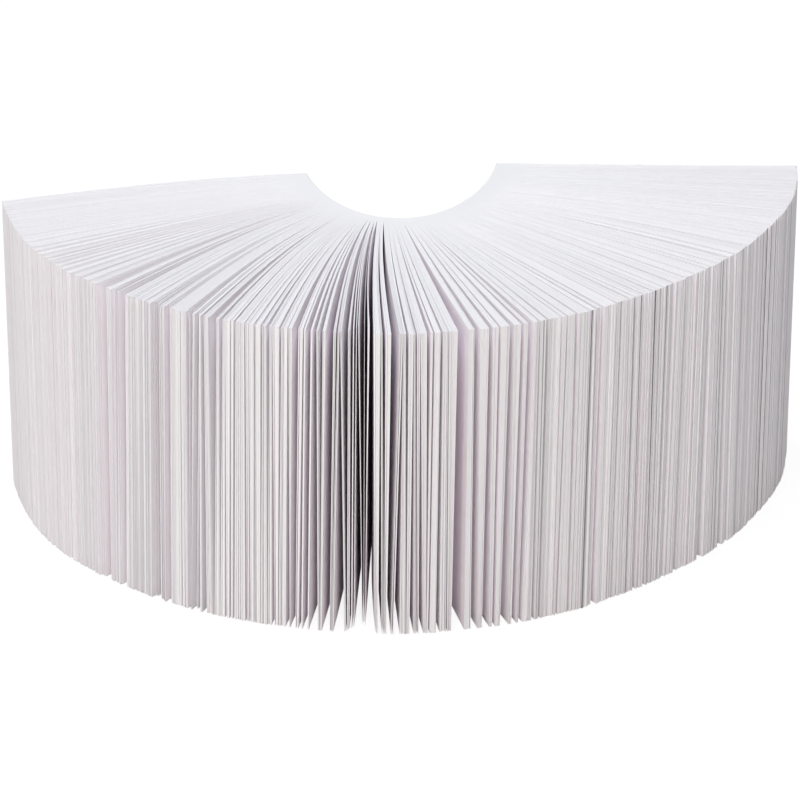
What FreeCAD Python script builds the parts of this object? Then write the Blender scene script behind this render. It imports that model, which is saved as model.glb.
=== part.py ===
"""A white paper note cube, standing on its sheets' lower edges and fanned open.

Two pieces: the block of sheets, and the padding glue along their bound edges.
Millimetres, +Z up.  The sheets fan out towards -Y and the glued edge bends into
a deep U that is open towards +Y.
"""
import FreeCAD, Part

import math
import os
import random

os.makedirs("parts", exist_ok=True)

V = FreeCAD.Vector

# ---------------------------------------------------------------- driving sizes
SHEET_HEIGHT = 90.0        # height of a sheet, along its glued edge
SHEET_WIDTH = 90.0         # nominal distance from the glued edge to the free edge
GLUE_THICKNESS = 0.5       # film of padding glue on the bound edges
PRESSED_DEPTH = 3.0        # next to the glue the sheets stay pressed together

SPINE_HALF_WIDTH = 31.0    # the glued edge is an arc of an ellipse: half width along X
SPINE_DEPTH = 67.5         # and half length along Y
SPINE_LEFT = -65.0         # where the arc starts and ends, in degrees from its
SPINE_RIGHT = 73.0         # lowest point in plan, positive towards +X

OPENING_POWER = 1.2        # how a gap widens from the glue: 1 is straight, 2 is late
GAP_ROOT = 0.06            # width of a gap at its inner end

# How the sheets point.  Headings are in degrees from -Y, positive towards +X.
# Each row is a place along the glued edge (0 left, 1 right), the heading at the
# glue, the heading at the free edge, and how far past the nominal width the free
# edges stand there.
FAN = [
    (0.00, -84.5, -70.0, 2.0),
    (0.10, -75.0, -68.0, 2.5),
    (0.19, -61.0, -52.5, 4.0),
    (0.23, -48.0, -33.5, 4.0),
    (0.30, -36.5, -21.0, 3.0),
    (0.36, -21.0, -9.0, 1.0),
    (0.40, -6.0, 0.5, 0.0),
    (0.43, 1.0, 4.5, -0.5),
    (0.47, 11.0, 12.0, -2.0),
    (0.52, 25.5, 25.0, -3.0),
    (0.58, 40.0, 35.5, -4.0),
    (0.66, 47.0, 42.0, -3.5),
    (0.76, 73.0, 63.0, -1.5),
    (0.88, 82.5, 81.0, 0.5),
    (1.00, 88.0, 89.0, 0.0),
]

# The gaps between clumps of sheets: place along the glued edge, width at the
# free edge.
LEFT_GAPS = [
    (0.1645, 0.8), (0.1715, 1.0), (0.178, 0.9), (0.184, 1.1), (0.189, 0.9),
    (0.193, 1.1), (0.197, 1.0), (0.201, 1.2), (0.205, 0.9), (0.209, 1.1), (0.213, 0.8),
    (0.219, 3.5), (0.225, 1.5), (0.230, 2.3), (0.239, 0.6), (0.2505, 0.5),
    (0.2625, 2.5), (0.2735, 1.3), (0.2935, 1.4), (0.2995, 1.5), (0.3045, 1.1),
    (0.312, 1.2), (0.317, 0.6), (0.3205, 0.4), (0.324, 0.4), (0.3265, 0.7),
    (0.334, 0.4), (0.3365, 0.4), (0.340, 0.4), (0.344, 0.4), (0.348, 0.5),
]
FRONT_GAPS = [
    (0.351, 0.6), (0.355, 0.5), (0.360, 0.7), (0.3635, 1.8), (0.3675, 0.6),
    (0.370, 1.4), (0.3735, 1.8), (0.3765, 0.6), (0.380, 2.2), (0.383, 0.3),
    (0.3855, 1.6), (0.3885, 0.9), (0.391, 0.4), (0.3925, 0.2), (0.3945, 1.1),
    (0.397, 0.7), (0.399, 0.5), (0.403, 2.1), (0.410, 0.6), (0.413, 0.5), (0.4195, 1.8),
    (0.4255, 0.9), (0.4305, 0.4), (0.4345, 0.7), (0.437, 0.4), (0.440, 0.7),
    (0.4445, 0.6), (0.447, 0.5), (0.4525, 0.9), (0.4575, 0.3), (0.4655, 3.4),
    (0.4745, 1.8), (0.4815, 1.7), (0.486, 0.8), (0.492, 2.0), (0.4975, 1.3),
    (0.5015, 1.5),
]
RIGHT_GAPS = [
    (0.5075, 0.6), (0.512, 0.6), (0.521, 0.3), (0.524, 0.5), (0.532, 0.5), (0.541, 0.3),
    (0.5465, 0.6), (0.5515, 1.1), (0.5635, 0.5), (0.579, 0.6), (0.586, 0.4),
    (0.599, 1.0), (0.6165, 1.2), (0.6365, 0.4), (0.654, 0.9), (0.6705, 1.3),
    (0.681, 0.4), (0.6925, 0.7), (0.697, 1.8), (0.704, 0.5), (0.716, 1.9),
    (0.7225, 1.1), (0.7375, 0.6),
]
# Towards both ends the sheets lie dense, with narrow gaps at random places.
DENSE_ENDS = [(0.005, 0.160, 13), (0.750, 0.992, 14)]   # from, to, number of gaps
DENSE_GAP_LEAST = 0.25
DENSE_GAP_MOST = 0.55
LEAST_CLUMP = 0.004        # two gaps are no nearer than this share of the glued edge
SEED = 7

LINE_STEPS = 24            # steps in which a sheet's line is added up
SPINE_STEPS = 720          # steps in which the glued edge is measured
FLAT_SAG = 0.02            # a stretch that bows less than this is drawn straight


# ------------------------------------------------------------- the fan in plan
def on_spine(angle):
    """The point of the glued edge at an angle of its ellipse, in degrees."""
    turn = math.radians(angle)
    return V(SPINE_HALF_WIDTH * math.sin(turn), -SPINE_DEPTH * math.cos(turn), 0.0)


def spine_angles():
    """Angles evenly spaced along the glued edge's length, as (length, angle)."""
    rows = [(0.0, SPINE_LEFT)]
    here = on_spine(SPINE_LEFT)
    for step in range(1, SPINE_STEPS + 1):
        angle = SPINE_LEFT + (SPINE_RIGHT - SPINE_LEFT) * step / SPINE_STEPS
        there = on_spine(angle)
        rows.append((rows[-1][0] + here.distanceToPoint(there), angle))
        here = there
    return rows


SPINE_ROWS = spine_angles()


def spine_point(share):
    """The point at a share of the glued edge's length."""
    length = SPINE_ROWS[-1][0] * share
    row = 1
    while row < SPINE_STEPS and SPINE_ROWS[row][0] < length:
        row += 1
    before, after = SPINE_ROWS[row - 1], SPINE_ROWS[row]
    part = (length - before[0]) / (after[0] - before[0])
    return on_spine(before[1] + (after[1] - before[1]) * part)


def fan_slopes(column):
    """Slopes for a smooth curve through one column of FAN that never overshoots."""
    steps = [
        (after[column] - before[column]) / (after[0] - before[0])
        for before, after in zip(FAN, FAN[1:])
    ]
    slopes = [steps[0]]
    for left, right in zip(steps, steps[1:]):
        slopes.append(2 * left * right / (left + right) if left * right > 0 else 0.0)
    slopes.append(steps[-1])
    return slopes


FAN_SLOPES = {column: fan_slopes(column) for column in (1, 2, 3)}


def fan_value(share, column):
    """One column of FAN, smoothly between its rows."""
    row = 0
    while row < len(FAN) - 2 and share > FAN[row + 1][0]:
        row += 1
    low, high = FAN[row], FAN[row + 1]
    span = high[0] - low[0]
    part = (share - low[0]) / span
    slope_low = FAN_SLOPES[column][row] * span
    slope_high = FAN_SLOPES[column][row + 1] * span
    return (
        (2 * part**3 - 3 * part**2 + 1) * low[column]
        + (part**3 - 2 * part**2 + part) * slope_low
        + (3 * part**2 - 2 * part**3) * high[column]
        + (part**3 - part**2) * slope_high
    )


def sheet_line(share, aside=0.0):
    """The plan line of the sheet glued at share, as points from glue to free edge.

    The second point is where the pressed part ends.  The sheet bends most next to
    the glue, as a strip does that is held at one end.  aside pushes its free edge
    sideways, positive towards greater headings.
    """
    at_glue = math.radians(fan_value(share, 1))
    at_free = math.radians(fan_value(share, 2))
    reach = SHEET_WIDTH + fan_value(share, 3)
    step_length = (reach - PRESSED_DEPTH) / LINE_STEPS
    points = [spine_point(share)]
    on_line, done = points[0], 0.0
    for step in range(LINE_STEPS + 1):
        length = step_length if step else PRESSED_DEPTH
        middle = (done + length / 2) / reach
        heading = at_glue + (at_free - at_glue) * (1 - (1 - middle) ** 2)
        on_line = on_line + V(math.sin(heading), -math.cos(heading), 0.0) * length
        done += length
        push = math.copysign(GAP_ROOT / 2, aside) if aside else 0.0
        push += (aside - push) * (step / LINE_STEPS) ** OPENING_POWER
        points.append(on_line + V(math.cos(heading), math.sin(heading), 0.0) * push)
    return points


def gap_list():
    """All gaps between clumps, left to right, as (share, width at the free edge)."""
    gaps = LEFT_GAPS + FRONT_GAPS + RIGHT_GAPS
    chance = random.Random(SEED)
    for start, end, count in DENSE_ENDS:
        pitch = (end - start) / count
        for number in range(count):
            share = start + pitch * (number + chance.uniform(0.2, 0.8))
            width = chance.uniform(DENSE_GAP_LEAST, DENSE_GAP_MOST)
            if all(abs(share - other) >= LEAST_CLUMP for other, _ in gaps):
                gaps = gaps + [(share, width)]
    return sorted(gaps)


# ---------------------------------------------------------------- edges of the plan
def smooth_edge(start, middle, end):
    """An arc through three points, or a straight line where it hardly bows."""
    chord = end - start
    bow = (middle - start).cross(chord).Length / chord.Length
    if bow < FLAT_SAG:
        return Part.LineSegment(start, end).toShape()
    return Part.Arc(start, middle, end).toShape()


def spine_arc(inset=0.0):
    """The glued edge's arc, or a parallel-looking one inset into the hollow."""
    long_point = V(0.0, -(SPINE_DEPTH - inset), 0.0)
    short_point = V(SPINE_HALF_WIDTH - inset, 0.0, 0.0)
    ellipse = Part.Ellipse(long_point, short_point, V(0.0, 0.0, 0.0))
    first, last = math.radians(SPINE_LEFT), math.radians(SPINE_RIGHT)
    return Part.ArcOfEllipse(ellipse, first, last).toShape()


def gap_sides(share, width):
    """Left and right side of one gap, each as points from its root to the free edge."""
    return sheet_line(share, -width / 2)[1:], sheet_line(share, width / 2)[1:]


def halfway(points):
    """The point of a sheet's line in the middle of it."""
    return points[len(points) // 2]


def fan_outline():
    """The closed wire round the sheets in plan, with a notch for every gap."""
    gaps = gap_list()
    left_end = sheet_line(0.0)
    right_end = sheet_line(1.0)
    edges = [smooth_edge(left_end[0], halfway(left_end), left_end[-1])]
    share_before, width_before, corner = 0.0, 0.0, left_end[-1]
    for share, width in gaps:
        left, right = gap_sides(share, width)
        crown = sheet_line((share_before + share) / 2, (width_before - width) / 4)[-1]
        edges.append(smooth_edge(corner, crown, left[-1]))
        edges.append(smooth_edge(left[-1], halfway(left), left[0]))
        edges.append(Part.LineSegment(left[0], right[0]).toShape())
        edges.append(smooth_edge(right[0], halfway(right), right[-1]))
        share_before, width_before, corner = share, width, right[-1]
    crown = sheet_line((share_before + 1.0) / 2, width_before / 4)[-1]
    edges.append(smooth_edge(corner, crown, right_end[-1]))
    edges.append(smooth_edge(right_end[-1], halfway(right_end), right_end[0]))
    edges.append(spine_arc())
    return Part.Wire(Part.__sortEdges__(edges))


# ------------------------------------------------------------------- the pieces
def make_sheets():
    """All the sheets as one solid, joined where the glue presses them together."""
    return Part.Face(fan_outline()).extrude(V(0.0, 0.0, SHEET_HEIGHT))


def make_glue_spine():
    """The film of padding glue on the inside of the U."""
    outer, inner = spine_arc(), spine_arc(GLUE_THICKNESS)
    closing = [
        Part.LineSegment(outer.valueAt(end), inner.valueAt(end)).toShape()
        for end in (outer.FirstParameter, outer.LastParameter)
    ]
    wire = Part.Wire(Part.__sortEdges__([outer, inner] + closing))
    return Part.Face(wire).extrude(V(0.0, 0.0, SHEET_HEIGHT))


def main():
    pieces = {"sheets": make_sheets(), "glue_spine": make_glue_spine()}
    box = FreeCAD.BoundBox()
    for shape in pieces.values():
        box.add(shape.optimalBoundingBox(False, False))
    to_origin = V(-box.Center.x, -box.Center.y, -box.ZMin)
    for name, shape in pieces.items():
        shape.translate(to_origin)
        solid = Part.Solid(shape.Shells[0])
        print(name, "valid", solid.isValid(), "faces", len(solid.Faces),
              "volume cm3 %.1f" % (solid.Volume / 1000.0))
        solid.exportStep("parts/" + name + ".step")
    print("size %.1f x %.1f x %.1f" % (box.XLength, box.YLength, box.ZLength))
    print("moved by", to_origin, "gaps", len(gap_list()))
    print("glued edge %.1f" % SPINE_ROWS[-1][0])


main()
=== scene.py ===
"""Looks of a white note cube that stands on its sheets' lower edges, fanned open.

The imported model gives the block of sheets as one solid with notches.  This script
replaces it with thin leaves side by side, each of which stands for one or a few
sheets, gives the padding glue its finish, and adds the floor, the light and the camera.
"""

import math
import random

import bpy
import numpy as np
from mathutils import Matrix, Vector


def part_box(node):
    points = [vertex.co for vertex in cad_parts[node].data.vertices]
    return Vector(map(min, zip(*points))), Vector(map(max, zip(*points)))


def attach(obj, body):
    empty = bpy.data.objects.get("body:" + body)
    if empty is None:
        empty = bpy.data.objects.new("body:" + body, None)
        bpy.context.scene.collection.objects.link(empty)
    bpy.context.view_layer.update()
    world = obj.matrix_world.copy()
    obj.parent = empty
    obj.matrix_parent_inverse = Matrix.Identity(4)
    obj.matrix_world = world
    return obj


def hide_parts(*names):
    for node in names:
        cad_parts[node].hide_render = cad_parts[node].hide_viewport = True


MM = 0.001

# ------------------------------------------------------------ sizes of the fan, in mm
SHEET_WIDTH = 90.0         # nominal distance from the glued edge to the free edge
PRESSED_DEPTH = 3.0        # next to the glue the sheets stay pressed together
SPINE_HALF_WIDTH = 31.0    # the glued edge is an arc of an ellipse: half width along X
SPINE_DEPTH = 67.5         # and half length along Y
SPINE_LEFT = -65.0         # where the arc starts and ends, in degrees from its
SPINE_RIGHT = 73.0         # lowest point in plan, positive towards +X
OPENING_POWER = 1.2        # how a gap widens from the glue: 1 is straight, 2 is late
# The same at the floor, where the gaps of the middle open later: place along the
# glued edge, and the power there.
FLOOR_OPENING_POWERS = [
    (0.37, OPENING_POWER), (0.385, 2.5), (0.405, 2.5), (0.415, OPENING_POWER),
]

# How the sheets point.  Headings are in degrees from -Y, positive towards +X.
# Each row is a place along the glued edge (0 left, 1 right), the heading at the
# glue, the heading at the free edge, and how far past the nominal width the free
# edges stand there.
FAN = np.array([
    (0.00, -84.5, -70.0, 2.0),
    (0.10, -75.0, -68.0, 2.5),
    (0.19, -61.0, -52.5, 4.0),
    (0.23, -48.0, -33.5, 4.0),
    (0.30, -36.5, -21.0, 3.0),
    (0.36, -21.0, -9.0, 1.0),
    (0.40, -6.0, 0.5, 0.0),
    (0.43, 1.0, 4.5, -0.5),
    (0.47, 11.0, 12.0, -2.0),
    (0.52, 25.5, 25.0, -3.0),
    (0.58, 40.0, 35.5, -4.0),
    (0.66, 47.0, 42.0, -3.5),
    (0.76, 73.0, 63.0, -1.5),
    (0.88, 82.5, 81.0, 0.5),
    (1.00, 88.0, 89.0, 0.0),
])
HEADING_AT_GLUE, HEADING_AT_FREE_EDGE, PAST_WIDTH = 1, 2, 3     # columns of FAN

# The gaps between clumps of sheets.  Each row is a place along the glued edge, the
# gap's width at the free edge's top, its width at the floor, and how far it leans
# from top to floor, positive towards greater headings.
LEFT_GAPS = [
    (0.1645, 0.8, 0.8, -0.5), (0.1715, 1.0, 0.9, -0.6), (0.178, 0.8, 0.9, -0.8),
    (0.184, 1.1, 1.0, -1.0), (0.189, 0.9, 0.8, -1.1), (0.193, 1.2, 1.0, -1.2),
    (0.197, 0.9, 1.0, -1.3), (0.201, 1.1, 1.2, -1.4), (0.205, 0.9, 0.8, -1.5),
    (0.209, 1.0, 1.1, -1.6), (0.213, 0.7, 0.8, -1.6), (0.219, 3.3, 3.7, -1.6),
    (0.225, 1.7, 1.2, -2.2), (0.230, 2.6, 1.9, -2.2), (0.239, 0.3, 0.9, -1.9),
    (0.2505, 0.5, 0.5, -1.9), (0.2625, 2.1, 2.9, -1.6), (0.2735, 1.3, 1.3, -1.8),
    (0.2935, 1.9, 0.8, -1.9), (0.2995, 0.8, 2.2, -2.2), (0.3045, 0.8, 1.4, -1.2),
    (0.312, 2.1, 0.2, -1.3), (0.317, 1.0, 0.2, -1.9), (0.3205, 0.2, 0.6, -1.4),
    (0.324, 0.2, 0.5, -1.7), (0.3265, 0.7, 0.6, -1.8), (0.334, 0.3, 0.5, -1.0),
    (0.3365, 0.2, 0.5, -1.0), (0.340, 0.4, 0.3, -1.1), (0.344, 0.6, 0.2, -1.5),
    (0.348, 0.8, 0.2, -1.3),
]
FRONT_GAPS = [
    (0.351, 0.2, 0.9, -0.8), (0.355, 0.7, 0.3, -1.6), (0.360, 0.2, 1.1, -1.1),
    (0.3635, 1.8, 1.5, -1.6), (0.3675, 0.3, 0.8, -1.9), (0.370, 1.4, 1.4, -1.7),
    (0.3735, 1.0, 2.5, -1.1), (0.3765, 1.1, 0.1, -0.9), (0.380, 2.1, 2.2, -1.7),
    (0.383, 0.5, 0.1, -2.1), (0.3855, 0.1, 3.0, -0.8), (0.3885, 1.7, 0.2, 0.0),
    (0.391, 0.7, 0.4, -0.8), (0.3925, 0.5, 0.3, -1.0), (0.3945, 0.3, 2.1, -0.2),
    (0.397, 1.3, 0.2, 0.0), (0.399, 1.0, 0.3, -0.8), (0.403, 1.2, 2.9, -0.7),
    (0.410, 0.1, 1.0, -0.3), (0.413, 0.9, 0.1, -0.2), (0.4195, 2.4, 1.2, -2.0),
    (0.4255, 0.1, 1.7, -1.8), (0.4305, 0.7, 0.1, -0.3), (0.4345, 0.1, 1.2, -0.5),
    (0.437, 0.5, 0.3, 0.1), (0.440, 0.1, 1.3, 0.3), (0.4445, 1.0, 0.1, -0.5),
    (0.447, 0.5, 0.4, -1.2), (0.4525, 0.7, 1.1, -0.9), (0.4575, 0.2, 0.4, -0.3),
    (0.4655, 3.1, 3.7, -1.1), (0.4745, 1.5, 2.0, -0.3), (0.4815, 1.2, 2.2, -0.9),
    (0.486, 0.6, 0.9, -1.0), (0.492, 1.3, 2.6, -1.4), (0.4975, 1.0, 1.6, -1.6),
    (0.5015, 1.7, 1.2, -2.2),
]
RIGHT_GAPS = [
    (0.5075, 0.5, 1.1, -0.9), (0.512, 0.8, 0.8, -1.5), (0.521, 0.5, 0.5, -1.3),
    (0.524, 0.6, 0.8, -2.0), (0.532, 0.8, 0.5, -1.2), (0.541, 0.5, 0.5, -1.5),
    (0.5465, 0.9, 0.5, -1.3), (0.5515, 0.8, 1.6, -1.3), (0.5635, 0.6, 0.7, -1.5),
    (0.579, 0.8, 0.7, -0.8), (0.586, 0.6, 0.6, -0.9), (0.599, 0.7, 1.4, -1.0),
    (0.6165, 0.9, 1.4, -0.8), (0.6365, 0.6, 0.6, -1.0), (0.654, 1.1, 0.9, -1.5),
    (0.6705, 0.9, 1.8, -1.5), (0.681, 0.6, 0.6, -1.2), (0.6925, 0.8, 0.8, -1.2),
    (0.697, 0.7, 2.6, -1.3), (0.704, 0.7, 0.7, -0.6), (0.716, 1.4, 2.4, 0.3),
    (0.7225, 0.9, 1.4, 0.6), (0.7375, 0.8, 0.7, 0.3),
]
# Both ends of the fan stand among the gaps as gaps of no width.
LEFT_END = (0.0, 0.0, 0.0, 0.0)
RIGHT_END = (1.0, 0.0, 0.0, 0.0)

# At the left end and all along the right the sheets lie dense, with narrow gaps at
# random places.
DENSE_PARTS = [            # from, to, number of narrow gaps, their width at the floor
    (0.005, 0.160, 13, 0.40),
    (0.515, 0.745, 22, 0.65),
    (0.750, 0.992, 28, 0.65),
]
DENSE_PLACES = (0.2, 0.8)  # where in its share of the part each of them may stand
DENSE_SPREAD = 0.3         # how much that width varies, as a share of it
DENSE_AT_TOP = 0.5         # their width at the top, as a share of that at the floor
LEAST_CLUMP = 0.0045       # two gaps are no nearer than this share of the glued edge
GAP_SEED = 7

# Some gaps of the middle open at once behind the glue and narrow again towards the
# free edge: place along the glued edge, and how much wider they are at their widest.
BOWED_GAPS = {0.38: 0.4, 0.3885: 0.5, 0.397: 0.4, 0.403: 0.8, 0.4195: 0.3}
BOW_START = 0.5            # power with which the extra width starts at the glue

# Loose single leaves stand in the gaps of the left flank, near each gap's left side.
LOOSE_END = 0.300          # place along the glued edge up to which they do
LOOSE_SPACING = 0.42       # width of a gap for each of its loose leaves
LOOSE_MOST = 6             # but no gap has more than this
LOOSE_LEAF = 0.20          # thickness of a loose leaf at the free edge
LOOSE_POWER = 1.3          # how fast the slits between them grow towards the right
LOOSE_VARY = (0.6, 1.4)    # least and most factor by which those slits vary
LOOSE_STEP = 2.5           # a loose leaf stands back by up to this
LOOSE_SEED = 5

# The leaves that a clump is cut into.
PITCH_SPREAD = 0.40        # how much a leaf's width varies, as a share of it
LEAVES = [                 # from, leaf width, widest slit, how rare those are, clump's step
    (0.00, 0.32, 0.32, 3.5, 0.2),
    (0.16, 0.32, 0.32, 2.5, 0.3),
    (0.51, 0.42, 0.36, 2.0, 0.6),
    (0.78, 0.42, 0.36, 2.0, 0.3),
]
SLIT_LEAST = 0.01          # the slit between two leaves of a clump, at the free edge
SLIT_OF_LEAF = 0.8         # no slit is wider than this share of a leaf beside it
SLIT_AT_TOP = 0.5          # a slit's width at the top, as a share of that at the floor
LEAST_SHORT = 0.10         # every leaf's free edge stands back by this at least
SHORT_OF_REACH = 0.40      # and that of a leaf inside its clump by up to this more
SHORT_OF_HEIGHT = 0.12     # the top edge of such a leaf stays low by up to this
# Sheets of the middle that stand back: place along the glued edge, and how far.
SET_BACK = [(0.383, 0.0), (0.389, 1.5), (0.397, 7.0), (0.401, 3.0), (0.404, 0.0)]
LEAF_SEED = 11

# Shades of the paper, on a scale from 0 (palest) to 1. Only cut edges go past 0.5, by an
# even greyer tone and by painted slit shade.
LEAF_TONES = 0.5           # each leaf has a shade of its own, up to this
CUT_EDGE_TONE = 0.12       # every leaf's free edge is this much greyer than the rest of the leaf
# Painted shade: some cut edges are darker still, painted with the shade that falls in slits
# between sheets too thin to be cut as geometry, more of it from the middle to the right
# than on the left. Each row gives a place along the glued edge, and by how much at most.
PAINTED_SLIT_SHADES = [
    (0.00, 0.10), (0.10, 0.20), (0.40, 0.20), (0.50, 0.25), (0.52, 0.50), (0.80, 0.40),
    (1.00, 0.15),
]
PAINTED_SLIT_SHADE_POWER = 4.5      # few cut edges get much of that painted shade, most get hardly any
PAPER_AND_SLIT_SHADE_COLOURS = [          # shade, colour
    (0.0, (0.962, 0.922, 0.954, 1)),
    (0.2, (0.956, 0.922, 0.951, 1)),
    (0.35, (0.950, 0.921, 0.947, 1)),
    (0.5, (0.940, 0.917, 0.938, 1)),
    # painted slit shade on cut edges takes them towards this dark end
    (1.0, (0.180, 0.175, 0.178, 1)),
]
GLUE_COLOURS = [           # cloudiness, colour
    (0.3, (0.80, 0.79, 0.75, 1)),
    (0.7, (0.88, 0.875, 0.85, 1)),
]

SPINE_STEPS = 720          # steps in which the glued edge is measured
LINE_STEPS = 8             # quads along a leaf, from the glue to the free edge
LINE_PARTS = 3             # each of them is added up in so many shorter steps
HEIGHT_STEPS = 3           # quads up a leaf

# ------------------------------------------------------------------ camera and light
CAMERA_FROM_FAN = (0.2, -1153.6, 494.9)    # mm, from the middle of the glued edge's ellipse
CAMERA_PITCH = 23.04       # degrees down
CAMERA_LENS = 180.0        # mm
SENSOR = 36.0              # width of the camera's sensor, mm
CAMERA_CLIP_END = 20.0     # metres
LAMPS = [                  # name, place and width in metres, colour, power in watts
    ("key", (-0.9, -2.4, 1.0), 1.2, (1.0, 0.975, 0.88), 27.0),
    ("front", (0.5, -2.6, 0.8), 0.8, (0.98, 1.0, 0.95), 12.0),
    ("left", (-2.4, -0.5, 1.0), 1.6, (0.92, 1.0, 0.98), 9.3),
    ("right", (2.4, -0.6, 1.0), 1.4, (1.0, 1.0, 1.0), 3.4),
    ("back", (0.6, 2.5, 1.1), 1.6, (0.96, 0.98, 1.0), 6.5),
    ("top", (-0.3, 0.1, 2.4), 1.6, (0.88, 0.95, 1.0), 32.0),
]
LAMP_TARGET = (0.0, 0.0, 0.04)
AMBIENT = (0.98, 0.985, 1.0, 1)            # even light from all around
AMBIENT_STRENGTH = 0.20
FLOOR_HALF = 6.0           # metres
FLOOR_COLOUR = (0.56, 0.54, 0.55, 1)       # what the floor throws back at the sheets
FLOOR_SEEN = 0.70          # how much of the floor's seen white doesn't take the light
FLOOR_WHITE = 1.28         # strength of that white
PAPER_BOUNCES = 12         # light goes far in between white sheets


# ---------------------------------------------------------------- the fan in plan
def glued_edge():
    """Points evenly spaced in angle along the glued edge, and their shares of it."""
    turns = np.radians(np.linspace(SPINE_LEFT, SPINE_RIGHT, SPINE_STEPS + 1))
    points = np.stack([SPINE_HALF_WIDTH * np.sin(turns), -SPINE_DEPTH * np.cos(turns)], 1)
    steps = np.linalg.norm(np.diff(points, axis=0), axis=1)
    lengths = np.concatenate([[0.0], np.cumsum(steps)])
    return points, lengths / lengths[-1]


def fan_slopes(column):
    """Slopes for a smooth curve through one column of FAN that never overshoots."""
    steps = np.diff(FAN[:, column]) / np.diff(FAN[:, 0])
    left, right = steps[:-1], steps[1:]
    same_way = left * right > 0
    total = np.where(same_way, left + right, 1.0)
    between = np.where(same_way, 2 * left * right / total, 0.0)
    return np.concatenate([steps[:1], between, steps[-1:]])


def fan_value(shares, column):
    """One column of FAN at many places, smoothly between its rows."""
    row = np.clip(np.searchsorted(FAN[:, 0], shares) - 1, 0, len(FAN) - 2)
    low, high = FAN[row], FAN[row + 1]
    span = high[:, 0] - low[:, 0]
    part = (shares - low[:, 0]) / span
    slopes = fan_slopes(column)
    return (
        (2 * part**3 - 3 * part**2 + 1) * low[:, column]
        + (part**3 - 2 * part**2 + part) * slopes[row] * span
        + (3 * part**2 - 2 * part**3) * high[:, column]
        + (part**3 - part**2) * slopes[row + 1] * span
    )


def sheet_lines(shares, short):
    """Plan lines of the sheets glued at shares, which stop short of their reach.

    Returns the glued points, the lines' points as [line, step, 2], from where the
    pressed part ends, and the sideways direction at each of them.
    """
    spine, spine_shares = glued_edge()
    at_glue = np.radians(fan_value(shares, HEADING_AT_GLUE))
    at_free = np.radians(fan_value(shares, HEADING_AT_FREE_EDGE))
    reach = SHEET_WIDTH + fan_value(shares, PAST_WIDTH) - short
    small = (reach - PRESSED_DEPTH) / (LINE_STEPS * LINE_PARTS)
    here = np.stack([np.interp(shares, spine_shares, spine[:, axis]) for axis in (0, 1)], 1)
    done = np.zeros(len(shares))
    glued, points, sideways = here, [], []
    for step in range(LINE_STEPS * LINE_PARTS + 1):
        length = small if step else np.full(len(shares), PRESSED_DEPTH)
        middle = (done + length / 2) / reach
        heading = at_glue + (at_free - at_glue) * (1 - (1 - middle) ** 2)
        here = here + np.stack([np.sin(heading), -np.cos(heading)], 1) * length[:, None]
        done = done + length
        if step % LINE_PARTS == 0:
            points.append(here)
            sideways.append(np.stack([np.cos(heading), np.sin(heading)], 1))
    return glued, np.stack(points, 1), np.stack(sideways, 1)


def gap_list():
    """All gaps and both ends, left to right, as (share, width at top, at floor, lean)."""
    gaps = [LEFT_END] + LEFT_GAPS + FRONT_GAPS + RIGHT_GAPS + [RIGHT_END]
    lean_shares, leans = np.array(gaps).T[[0, 3]]
    chance = random.Random(GAP_SEED)
    for start, end, count, usual in DENSE_PARTS:
        pitch = (end - start) / count
        for number in range(count):
            share = start + pitch * (number + chance.uniform(*DENSE_PLACES))
            width = usual * (1 + DENSE_SPREAD * chance.uniform(-1, 1))
            lean = np.interp(share, lean_shares, leans)
            if all(abs(share - other[0]) >= LEAST_CLUMP for other in gaps):
                gaps = gaps + [(share, width * DENSE_AT_TOP, width, lean)]
    return sorted(gaps)


# -------------------------------------------------------------------- the sheets
def gap_sides():
    """Share, left side and right side of each gap, and of both ends of the fan.

    A side is how far it stands aside from its sheet's line, in mm: at the free edge's
    top, at the floor, and what a bow adds at the gap's widest place.
    """
    rows = gap_list()
    share, top, floor, lean = np.array(rows).T
    bow = np.array([BOWED_GAPS.get(row[0], 0.0) for row in rows])
    width = np.stack([top, floor, bow], 1)
    middle = np.stack([-lean / 2, lean / 2, np.zeros(len(rows))], 1)
    return share, middle - width / 2, middle + width / 2


def loosened_gaps():
    """Shares and sides as gap_sides gives them, with the loose leaves' gaps added.

    Also says which gaps have a loose leaf on their right.
    """
    chance = random.Random(LOOSE_SEED)
    share, left_side, right_side = gap_sides()
    free_edges = sheet_lines(share, np.zeros(len(share)))[1][:, -1]
    rows = [(share[0], left_side[0], right_side[0], False)]
    for gap in range(1, len(share)):
        width = right_side[gap] - left_side[gap]
        across = np.linalg.norm(free_edges[gap] - free_edges[gap - 1])
        room = across + (left_side[gap] - right_side[gap - 1])[:2].min()
        wanted = round(width[:2].mean() / LOOSE_SPACING) if share[gap] < LOOSE_END else 0
        count = max(0, min(wanted, LOOSE_MOST, int(room / LOOSE_LEAF) - 1))
        leaf_share = (share[gap] - share[gap - 1]) * LOOSE_LEAF / across
        parts = np.array([(number + 1) ** LOOSE_POWER * chance.uniform(*LOOSE_VARY)
                          for number in range(count + 1)])
        parts = parts / parts.sum()
        for number in range(count + 1):
            right = right_side[gap] - width * parts[number + 1:].sum()
            place = share[gap] - leaf_share * (count - number)
            rows.append((place, right - width * parts[number], right, number < count))
    return [np.array(column) for column in zip(*rows)]


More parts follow.
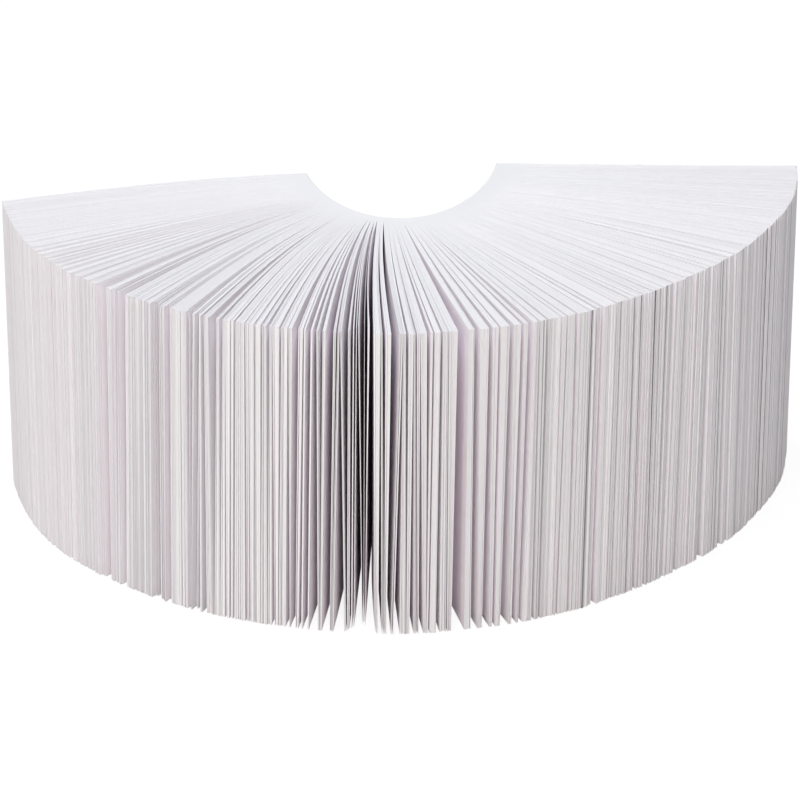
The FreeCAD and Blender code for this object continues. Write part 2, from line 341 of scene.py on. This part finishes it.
def leaf_sides():
    """Left and right side of every leaf: rows of its share and its three asides.

    Also says which leaves are the outer ones of their clump, and how far the clump
    stands back.
    """
    chance = random.Random(LEAF_SEED)
    share, gap_left, gap_right, loose = loosened_gaps()
    free_edges = sheet_lines(share, np.zeros(len(share)))[1][:, -1]
    left, right, outer, back = [], [], [], []
    for clump in range(len(share) - 1):
        across = np.linalg.norm(free_edges[clump + 1] - free_edges[clump])
        start, end = gap_right[clump], gap_left[clump + 1]
        thick = across + (end - start)[:2].mean()
        rows_so_far = [row[1:] for row in LEAVES if row[0] <= share[clump]]
        width, widest, rarity, step = rows_so_far[-1]
        count = max(1, round(thick / width))
        back += [(LOOSE_STEP if loose[clump] else step) * chance.random()] * count
        pitches = [1 + PITCH_SPREAD * chance.uniform(-1, 1) for _ in range(count)]
        cuts = np.concatenate([[0.0], np.cumsum(pitches)]) / sum(pitches)
        thin = across + (end - start)[:2].min()
        slits = [0.0]
        for leaf in range(count - 1):
            slit = SLIT_LEAST + (widest - SLIT_LEAST) * chance.random() ** rarity
            least = thin * min(pitches[leaf:leaf + 2]) / sum(pitches)
            slits.append(min(slit, SLIT_OF_LEAF * least))
        slits.append(0.0)
        for leaf in range(count):
            for side, cut, slit in ((left, cuts[leaf], slits[leaf]),
                                    (right, cuts[leaf + 1], -slits[leaf + 1])):
                push = np.array([SLIT_AT_TOP, 1.0, 0.0]) * slit / 2
                place = share[clump] + (share[clump + 1] - share[clump]) * cut
                side.append((place, *(start + (end - start) * cut + push)))
            outer.append(leaf in (0, count - 1))
    return np.array(left), np.array(right), np.array(outer), np.array(back)


def side_points(side, short, height):
    """Points [leaf, level, step, 3] of one side of all leaves, in mm."""
    _, lines, sideways = sheet_lines(side[:, 0], short)
    depth = np.linspace(0.0, 1.0, LINE_STEPS + 1)
    top = side[:, 1, None] * depth ** OPENING_POWER
    floor_power = np.interp(side[:, 0], *np.array(FLOOR_OPENING_POWERS).T)
    floor = side[:, 2, None] * depth ** floor_power[:, None]
    bow = depth ** BOW_START * (1 - depth)
    top = top + side[:, 3, None] * bow / bow.max()
    rows = []
    for level in np.linspace(0.0, 1.0, HEIGHT_STEPS + 1):
        aside = floor + (top - floor) * level
        plan = lines + sideways * aside[:, :, None]
        up = np.repeat((height * level)[:, None], LINE_STEPS + 1, 1)
        rows.append(np.concatenate([plan, up[:, :, None]], 2))
    return np.stack(rows, 1)


def edge_points(shares, height):
    """Points [boundary, level, 3] of the glued edge between leaves, in mm."""
    plan = sheet_lines(shares, np.zeros(len(shares)))[0]
    rows = [np.column_stack([plan, np.full(len(plan), height * level)])
            for level in np.linspace(0.0, 1.0, HEIGHT_STEPS + 1)]
    return np.stack(rows, 1)


def quads(first, second, third, fourth):
    """Faces from four equally shaped arrays of corner numbers, [leaf, ...] each."""
    return np.stack([first, second, third, fourth], -1).reshape(len(first), -1, 4)


def leaf_faces(left, right, glue):
    """The faces of each leaf, [leaf, face, 4], from grids of vertex numbers.

    left and right are [leaf, level, step], glue is [boundary, level].
    """
    near, far = glue[:-1], glue[1:]
    return np.concatenate([
        quads(left[:, :-1, :-1], left[:, 1:, :-1], left[:, 1:, 1:], left[:, :-1, 1:]),
        quads(right[:, :-1, 1:], right[:, 1:, 1:], right[:, 1:, :-1], right[:, :-1, :-1]),
        quads(left[:, :-1, -1], left[:, 1:, -1], right[:, 1:, -1], right[:, :-1, -1]),
        quads(far[:, :-1], far[:, 1:], near[:, 1:], near[:, :-1]),
        quads(left[:, -1, :-1], right[:, -1, :-1], right[:, -1, 1:], left[:, -1, 1:]),
        quads(left[:, 0, 1:], right[:, 0, 1:], right[:, 0, :-1], left[:, 0, :-1]),
        quads(near[:, -1:], far[:, -1:], right[:, -1, :1], left[:, -1, :1]),
        quads(left[:, 0, :1], right[:, 0, :1], far[:, :1], near[:, :1]),
    ], 1)


def face_tints_and_slit_shade(shares, faces_each, chance):
    """The shade of every face: its leaf's own, and more than that on cut edges, partly a
    painted shade of the slits between sheets.
    """
    shades = chance.random(len(shares)) * LEAF_TONES
    tints_with_slit_shade = np.repeat(shades[:, None], faces_each, 1)
    slit_shade_shares, slit_shades = np.array(PAINTED_SLIT_SHADES).T
    rare = chance.random(len(shares)) ** PAINTED_SLIT_SHADE_POWER
    # painted shade: the darkness of slits too thin to model, put on some cut edges
    cut_edge_grey_and_slit_shade = np.interp(shares, slit_shade_shares, slit_shades) * rare + CUT_EDGE_TONE
    cut_edge = 2 * HEIGHT_STEPS * LINE_STEPS + np.arange(HEIGHT_STEPS)
    tints_with_slit_shade[:, cut_edge] += cut_edge_grey_and_slit_shade[:, None]
    return np.append(tints_with_slit_shade, np.repeat(shades[[0, -1]], HEIGHT_STEPS))


def make_sheets(fan_at, height):
    """All leaves as one closed mesh, joined along the pressed part next to the glue."""
    left, right, outer, back = leaf_sides()
    count, levels = len(left), HEIGHT_STEPS + 1
    chance = np.random.default_rng(LEAF_SEED)
    short = LEAST_SHORT + back + chance.random(count) * SHORT_OF_REACH * ~outer
    short = short + np.interp(left[:, 0], *np.array(SET_BACK).T)
    tall = height - chance.random(count) * SHORT_OF_HEIGHT * ~outer
    left_points = side_points(left, short, tall)
    right_points = side_points(right, short, tall)

    # two neighbours share their vertices at the glue and where the pressed part ends
    glue_points = edge_points(np.append(left[:, 0], 1.0), height)
    root_points = np.concatenate([left_points[:, :, 0], right_points[-1:, :, 0]])
    root_points[:, :, 2] = glue_points[:, :, 2]
    points = np.concatenate([
        glue_points.reshape(-1, 3),
        root_points.reshape(-1, 3),
        left_points[:, :, 1:].reshape(-1, 3),
        right_points[:, :, 1:].reshape(-1, 3),
    ]) * MM + np.array(fan_at)

    glue = np.arange((count + 1) * levels).reshape(count + 1, levels)
    root = glue + glue.size
    loose = np.arange(count * levels * LINE_STEPS).reshape(count, levels, LINE_STEPS)
    left_grid = np.concatenate([root[:-1, :, None], loose + 2 * glue.size], 2)
    right_grid = np.concatenate([root[1:, :, None], loose + 2 * glue.size + loose.size], 2)
    faces = leaf_faces(left_grid, right_grid, glue)
    ends = np.concatenate([
        quads(glue[:1, :-1], glue[:1, 1:], root[:1, 1:], root[:1, :-1]),
        quads(root[-1:, :-1], root[-1:, 1:], glue[-1:, 1:], glue[-1:, :-1]),
    ])
    # each leaf's own tone, and painted slit shade on some cut edges
    tints_with_slit_shade = face_tints_and_slit_shade(left[:, 0], faces.shape[1], chance)
    corners = np.concatenate([faces.reshape(-1, 4), ends.reshape(-1, 4)])

    mesh = bpy.data.meshes.new("paper_sheets")
    mesh.from_pydata(points.tolist(), [], corners.tolist())
    tint_with_slit_shade = mesh.attributes.new("leaf_tint_and_slit_shade", "FLOAT", "FACE")
    tint_with_slit_shade.data.foreach_set("value", tints_with_slit_shade)
    mesh.validate()
    piece = bpy.data.objects.new("paper_sheets", mesh)
    bpy.context.scene.collection.objects.link(piece)
    return piece


# --------------------------------------------------------------------- materials
def new_material(name):
    """A node material, its node tree and its shader."""
    material = bpy.data.materials.new(name)
    material.use_nodes = True
    tree = material.node_tree
    return material, tree, tree.nodes["Principled BSDF"]


def add_node(tree, kind, **values):
    """A node with its properties, or its inputs by name, set."""
    node = tree.nodes.new(kind)
    for name, value in values.items():
        if hasattr(node, name):
            setattr(node, name, value)
        else:
            node.inputs[name.replace("_", " ")].default_value = value
    return node


def ramp_between(tree, stops):
    """A colour ramp with the given (place, colour) stops."""
    node = tree.nodes.new("ShaderNodeValToRGB")
    elements = node.color_ramp.elements
    elements[0].position, elements[0].color = stops[0]
    elements[1].position, elements[1].color = stops[-1]
    for place, colour in stops[1:-1]:
        element = elements.new(place)
        element.color = colour
    return node


def paper_material():
    """Uncoated white paper: each leaf a little pinker or greener, with a fine tooth, and
    painted slit shade on some cut edges.
    """
    material, tree, shader = new_material("note_paper")
    shader.inputs["Roughness"].default_value = 0.85
    shader.inputs["Specular IOR Level"].default_value = 0.2
    tint_with_slit_shade = add_node(tree, "ShaderNodeAttribute", attribute_name="leaf_tint_and_slit_shade")
    ramp = ramp_between(tree, PAPER_AND_SLIT_SHADE_COLOURS)
    tree.links.new(tint_with_slit_shade.outputs["Fac"], ramp.inputs["Fac"])
    tree.links.new(ramp.outputs["Color"], shader.inputs["Base Color"])
    place = add_node(tree, "ShaderNodeTexCoord")
    fibres = add_node(tree, "ShaderNodeTexNoise", Scale=1800.0, Detail=4.0, Roughness=0.6)
    tree.links.new(place.outputs["Object"], fibres.inputs["Vector"])
    bump = add_node(tree, "ShaderNodeBump", Strength=0.15, Distance=0.00004)
    tree.links.new(fibres.outputs["Fac"], bump.inputs["Height"])
    tree.links.new(bump.outputs["Normal"], shader.inputs["Normal"])
    return material


def glue_material():
    """Dried padding glue: a dull milky film with the sheets' edges showing through."""
    material, tree, shader = new_material("dried_glue")
    shader.inputs["Roughness"].default_value = 0.42
    shader.inputs["Coat Weight"].default_value = 0.25
    shader.inputs["Coat Roughness"].default_value = 0.3
    place = add_node(tree, "ShaderNodeTexCoord")
    along = add_node(tree, "ShaderNodeMapping")
    along.inputs["Scale"].default_value = (1.0, 1.0, 0.02)
    tree.links.new(place.outputs["Object"], along.inputs["Vector"])
    edges = add_node(tree, "ShaderNodeTexNoise", Scale=2200.0, Detail=3.0)
    tree.links.new(along.outputs["Vector"], edges.inputs["Vector"])
    cloudy = add_node(tree, "ShaderNodeTexNoise", Scale=90.0, Detail=5.0)
    tree.links.new(place.outputs["Object"], cloudy.inputs["Vector"])
    ramp = ramp_between(tree, GLUE_COLOURS)
    tree.links.new(cloudy.outputs["Fac"], ramp.inputs["Fac"])
    tree.links.new(ramp.outputs["Color"], shader.inputs["Base Color"])
    ridges = add_node(tree, "ShaderNodeBump", Strength=0.5, Distance=0.0001)
    tree.links.new(edges.outputs["Fac"], ridges.inputs["Height"])
    brushed = add_node(tree, "ShaderNodeBump", Strength=0.35, Distance=0.0004)
    tree.links.new(cloudy.outputs["Fac"], brushed.inputs["Height"])
    tree.links.new(ridges.outputs["Normal"], brushed.inputs["Normal"])
    tree.links.new(brushed.outputs["Normal"], shader.inputs["Normal"])
    return material


# ------------------------------------------------------------- floor, light, camera
def seen_directly(tree):
    """A node that is 1 for rays from the camera, through glass or off a gloss."""
    path = add_node(tree, "ShaderNodeLightPath")
    total = path.outputs["Is Camera Ray"]
    for ray in ("Is Glossy Ray", "Is Transmission Ray"):
        larger = add_node(tree, "ShaderNodeMath", operation="MAXIMUM")
        tree.links.new(total, larger.inputs[0])
        tree.links.new(path.outputs[ray], larger.inputs[1])
        total = larger.outputs[0]
    return total


def make_floor():
    """A plain floor, seen as white, that keeps the object's soft shadow."""
    mesh = bpy.data.meshes.new("floor")
    corners = [(-FLOOR_HALF, -FLOOR_HALF, 0), (FLOOR_HALF, -FLOOR_HALF, 0),
               (FLOOR_HALF, FLOOR_HALF, 0), (-FLOOR_HALF, FLOOR_HALF, 0)]
    mesh.from_pydata(corners, [], [(0, 1, 2, 3)])
    floor = bpy.data.objects.new("floor", mesh)
    bpy.context.scene.collection.objects.link(floor)
    material, tree, shader = new_material("floor_white")
    shader.inputs["Base Color"].default_value = FLOOR_COLOUR
    shader.inputs["Roughness"].default_value = 1.0
    shader.inputs["Specular IOR Level"].default_value = 0.0
    glow = add_node(tree, "ShaderNodeEmission", Strength=FLOOR_WHITE)
    share = add_node(tree, "ShaderNodeMath", operation="MULTIPLY")
    share.inputs[1].default_value = FLOOR_SEEN
    choose = add_node(tree, "ShaderNodeMixShader")
    tree.links.new(seen_directly(tree), share.inputs[0])
    tree.links.new(share.outputs[0], choose.inputs[0])
    tree.links.new(shader.outputs[0], choose.inputs[1])
    tree.links.new(glow.outputs[0], choose.inputs[2])
    tree.links.new(choose.outputs[0], tree.nodes["Material Output"].inputs["Surface"])
    mesh.materials.append(material)


def make_world():
    """White where it is seen, and an even soft light on everything."""
    world = bpy.data.worlds.new("studio")
    bpy.context.scene.world = world
    world.use_nodes = True
    tree = world.node_tree
    ambient = tree.nodes["Background"]
    ambient.inputs["Color"].default_value = AMBIENT
    ambient.inputs["Strength"].default_value = AMBIENT_STRENGTH
    white = add_node(tree, "ShaderNodeBackground")
    white.inputs["Color"].default_value = (1, 1, 1, 1)
    white.inputs["Strength"].default_value = 1.0
    choose = add_node(tree, "ShaderNodeMixShader")
    tree.links.new(seen_directly(tree), choose.inputs[0])
    tree.links.new(ambient.outputs[0], choose.inputs[1])
    tree.links.new(white.outputs[0], choose.inputs[2])
    tree.links.new(choose.outputs[0], tree.nodes["World Output"].inputs["Surface"])


def make_lamp(name, place, size, colour, power):
    """A square area lamp that points at the object."""
    light = bpy.data.lights.new(name, "AREA")
    light.shape = "SQUARE"
    light.size = size
    light.color = colour
    light.energy = power
    lamp = bpy.data.objects.new(name, light)
    bpy.context.scene.collection.objects.link(lamp)
    lamp.location = place
    aim = Vector(LAMP_TARGET) - Vector(place)
    lamp.rotation_euler = aim.to_track_quat("-Z", "Y").to_euler()


def make_camera(fan_at):
    """The camera in front and above, as far off as a long lens needs."""
    camera = bpy.data.objects.new("camera", bpy.data.cameras.new("camera"))
    bpy.context.scene.collection.objects.link(camera)
    camera.data.lens = CAMERA_LENS
    camera.data.sensor_width = SENSOR
    camera.data.clip_end = CAMERA_CLIP_END
    camera.location = Vector(fan_at) + Vector(CAMERA_FROM_FAN) * MM
    camera.rotation_euler = (math.radians(90.0 - CAMERA_PITCH), 0.0, 0.0)
    bpy.context.scene.camera = camera


# ---------------------------------------------------------------------- the scene
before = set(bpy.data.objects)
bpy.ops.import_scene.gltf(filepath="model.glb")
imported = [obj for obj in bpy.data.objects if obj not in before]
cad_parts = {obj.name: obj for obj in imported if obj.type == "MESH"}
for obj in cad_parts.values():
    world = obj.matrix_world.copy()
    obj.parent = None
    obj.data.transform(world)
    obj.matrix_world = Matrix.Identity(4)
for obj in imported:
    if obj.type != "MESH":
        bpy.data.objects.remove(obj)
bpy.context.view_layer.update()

glue_low, glue_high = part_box("glue_spine")
sheets_low, sheets_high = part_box("sheets")
FAN_AT = (
    glue_low.x - SPINE_HALF_WIDTH * math.sin(math.radians(SPINE_LEFT)) * MM,
    glue_low.y + SPINE_DEPTH * MM,
    sheets_low.z,
)

sheets = make_sheets(FAN_AT, (sheets_high.z - sheets_low.z) / MM)
sheets.data.materials.append(paper_material())
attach(sheets, "root")
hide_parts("sheets")

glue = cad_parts["glue_spine"]
film = glue_material()
for slot in glue.material_slots:
    slot.material = film

make_floor()
make_world()
for lamp_row in LAMPS:
    make_lamp(*lamp_row)
make_camera(FAN_AT)
scene = bpy.context.scene
scene.view_settings.view_transform = "Standard"
scene.cycles.diffuse_bounces = PAPER_BOUNCES
scene.cycles.max_bounces = PAPER_BOUNCES
